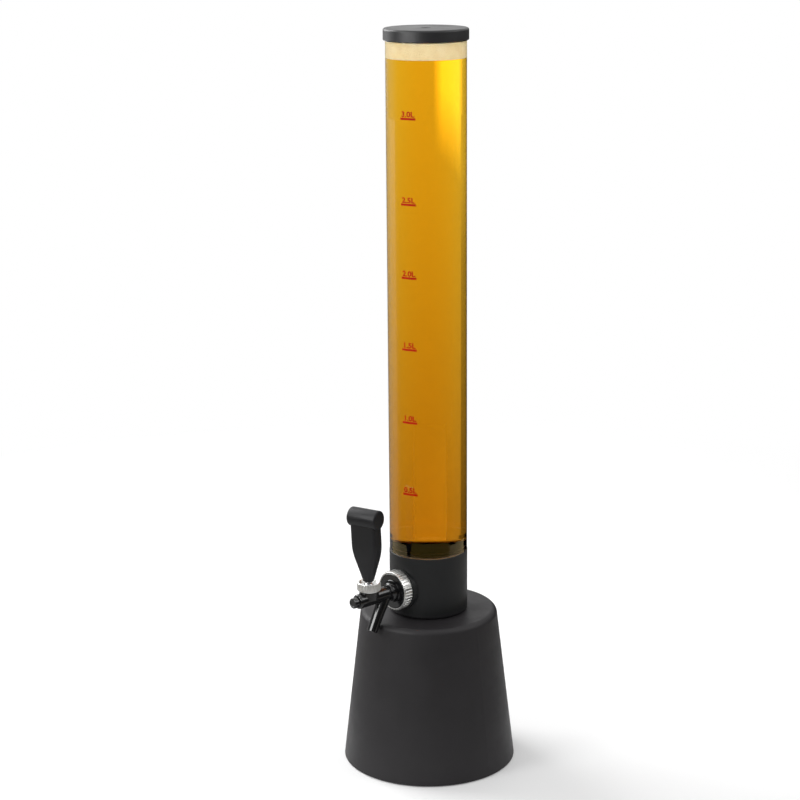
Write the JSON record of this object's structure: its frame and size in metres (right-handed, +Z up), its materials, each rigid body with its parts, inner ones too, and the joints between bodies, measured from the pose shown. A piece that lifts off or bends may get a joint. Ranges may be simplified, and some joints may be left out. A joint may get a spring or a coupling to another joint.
{
  "type": "beer tower dispenser",
  "caption": "Tall clear measuring tube on a black conical base, with a push lid and a lever tap at its foot that opens a spout.",
  "frame": {"origin": "centre of the rest face under the base, on the tube's axis", "axes": "+Z up along the tube, -Y along the tap towards the person who pours, +X to that person's left"},
  "size_m": [0.2014, 0.2192, 0.853],
  "materials": {
    "base_plastic": "fine matt moulded texture",
    "collar_plastic": "satin moulded",
    "lid_plastic": "satin moulded",
    "clear_tube": "clear polycarbonate",
    "tap_plastic": "gloss moulded",
    "handle_plastic": "satin moulded",
    "chrome": "bright plated, knurled",
    "screw_steel": "plain stainless",
    "black_rubber": "soft seal rubber",
    "pad_rubber": "non-slip foam rubber"
  },
  "bodies": {
    "tower": {"base_shell": "base_plastic", "bottom_plate": "base_plastic", "bottom_screws": "screw_steel", "non_slip_pad": "pad_rubber", "collar": "collar_plastic", "collar_washer": "black_rubber", "collar_lock_nut": "collar_plastic", "tube": "clear_tube", "tube_gasket": "black_rubber", "tap_shank": "tap_plastic", "outer_washer": "black_rubber", "inner_washer": "black_rubber", "shank_nut": "tap_plastic", "hub_gasket": "black_rubber", "coupling_nut": "chrome", "tap_body": "tap_plastic", "spout": "tap_plastic", "front_cap": "tap_plastic", "plunger_ring": "black_rubber", "ball_seal": "black_rubber", "lever_bonnet": "chrome"},
    "lid": {"lid": "lid_plastic", "lid_seal": "black_rubber"},
    "lever": {"lever_ball": "screw_steel", "handle": "handle_plastic"},
    "plunger": {"plunger": "screw_steel", "valve_seal": "black_rubber"}
  },
  "joints": [
    {"name": "lid_lift", "type": "slide", "parent": "tower", "child": "lid", "axis": [0, 0, 1], "range_m": [0, 0.06]},
    {"name": "lever_tip", "type": "hinge", "parent": "tower", "child": "lever", "pos_m": [0, -0.0935, 0.2313], "axis": [1, 0, 0], "range_deg": [0, 25]},
    {"name": "plunger_slide", "type": "slide", "parent": "tower", "child": "plunger", "axis": [0, 1, 0], "range_m": [0, 0.00597]}
  ],
  "couplings": [
    {"joint": "plunger_slide", "follows": "lever_tip", "m_per_rad": 0.013671}
  ]
}
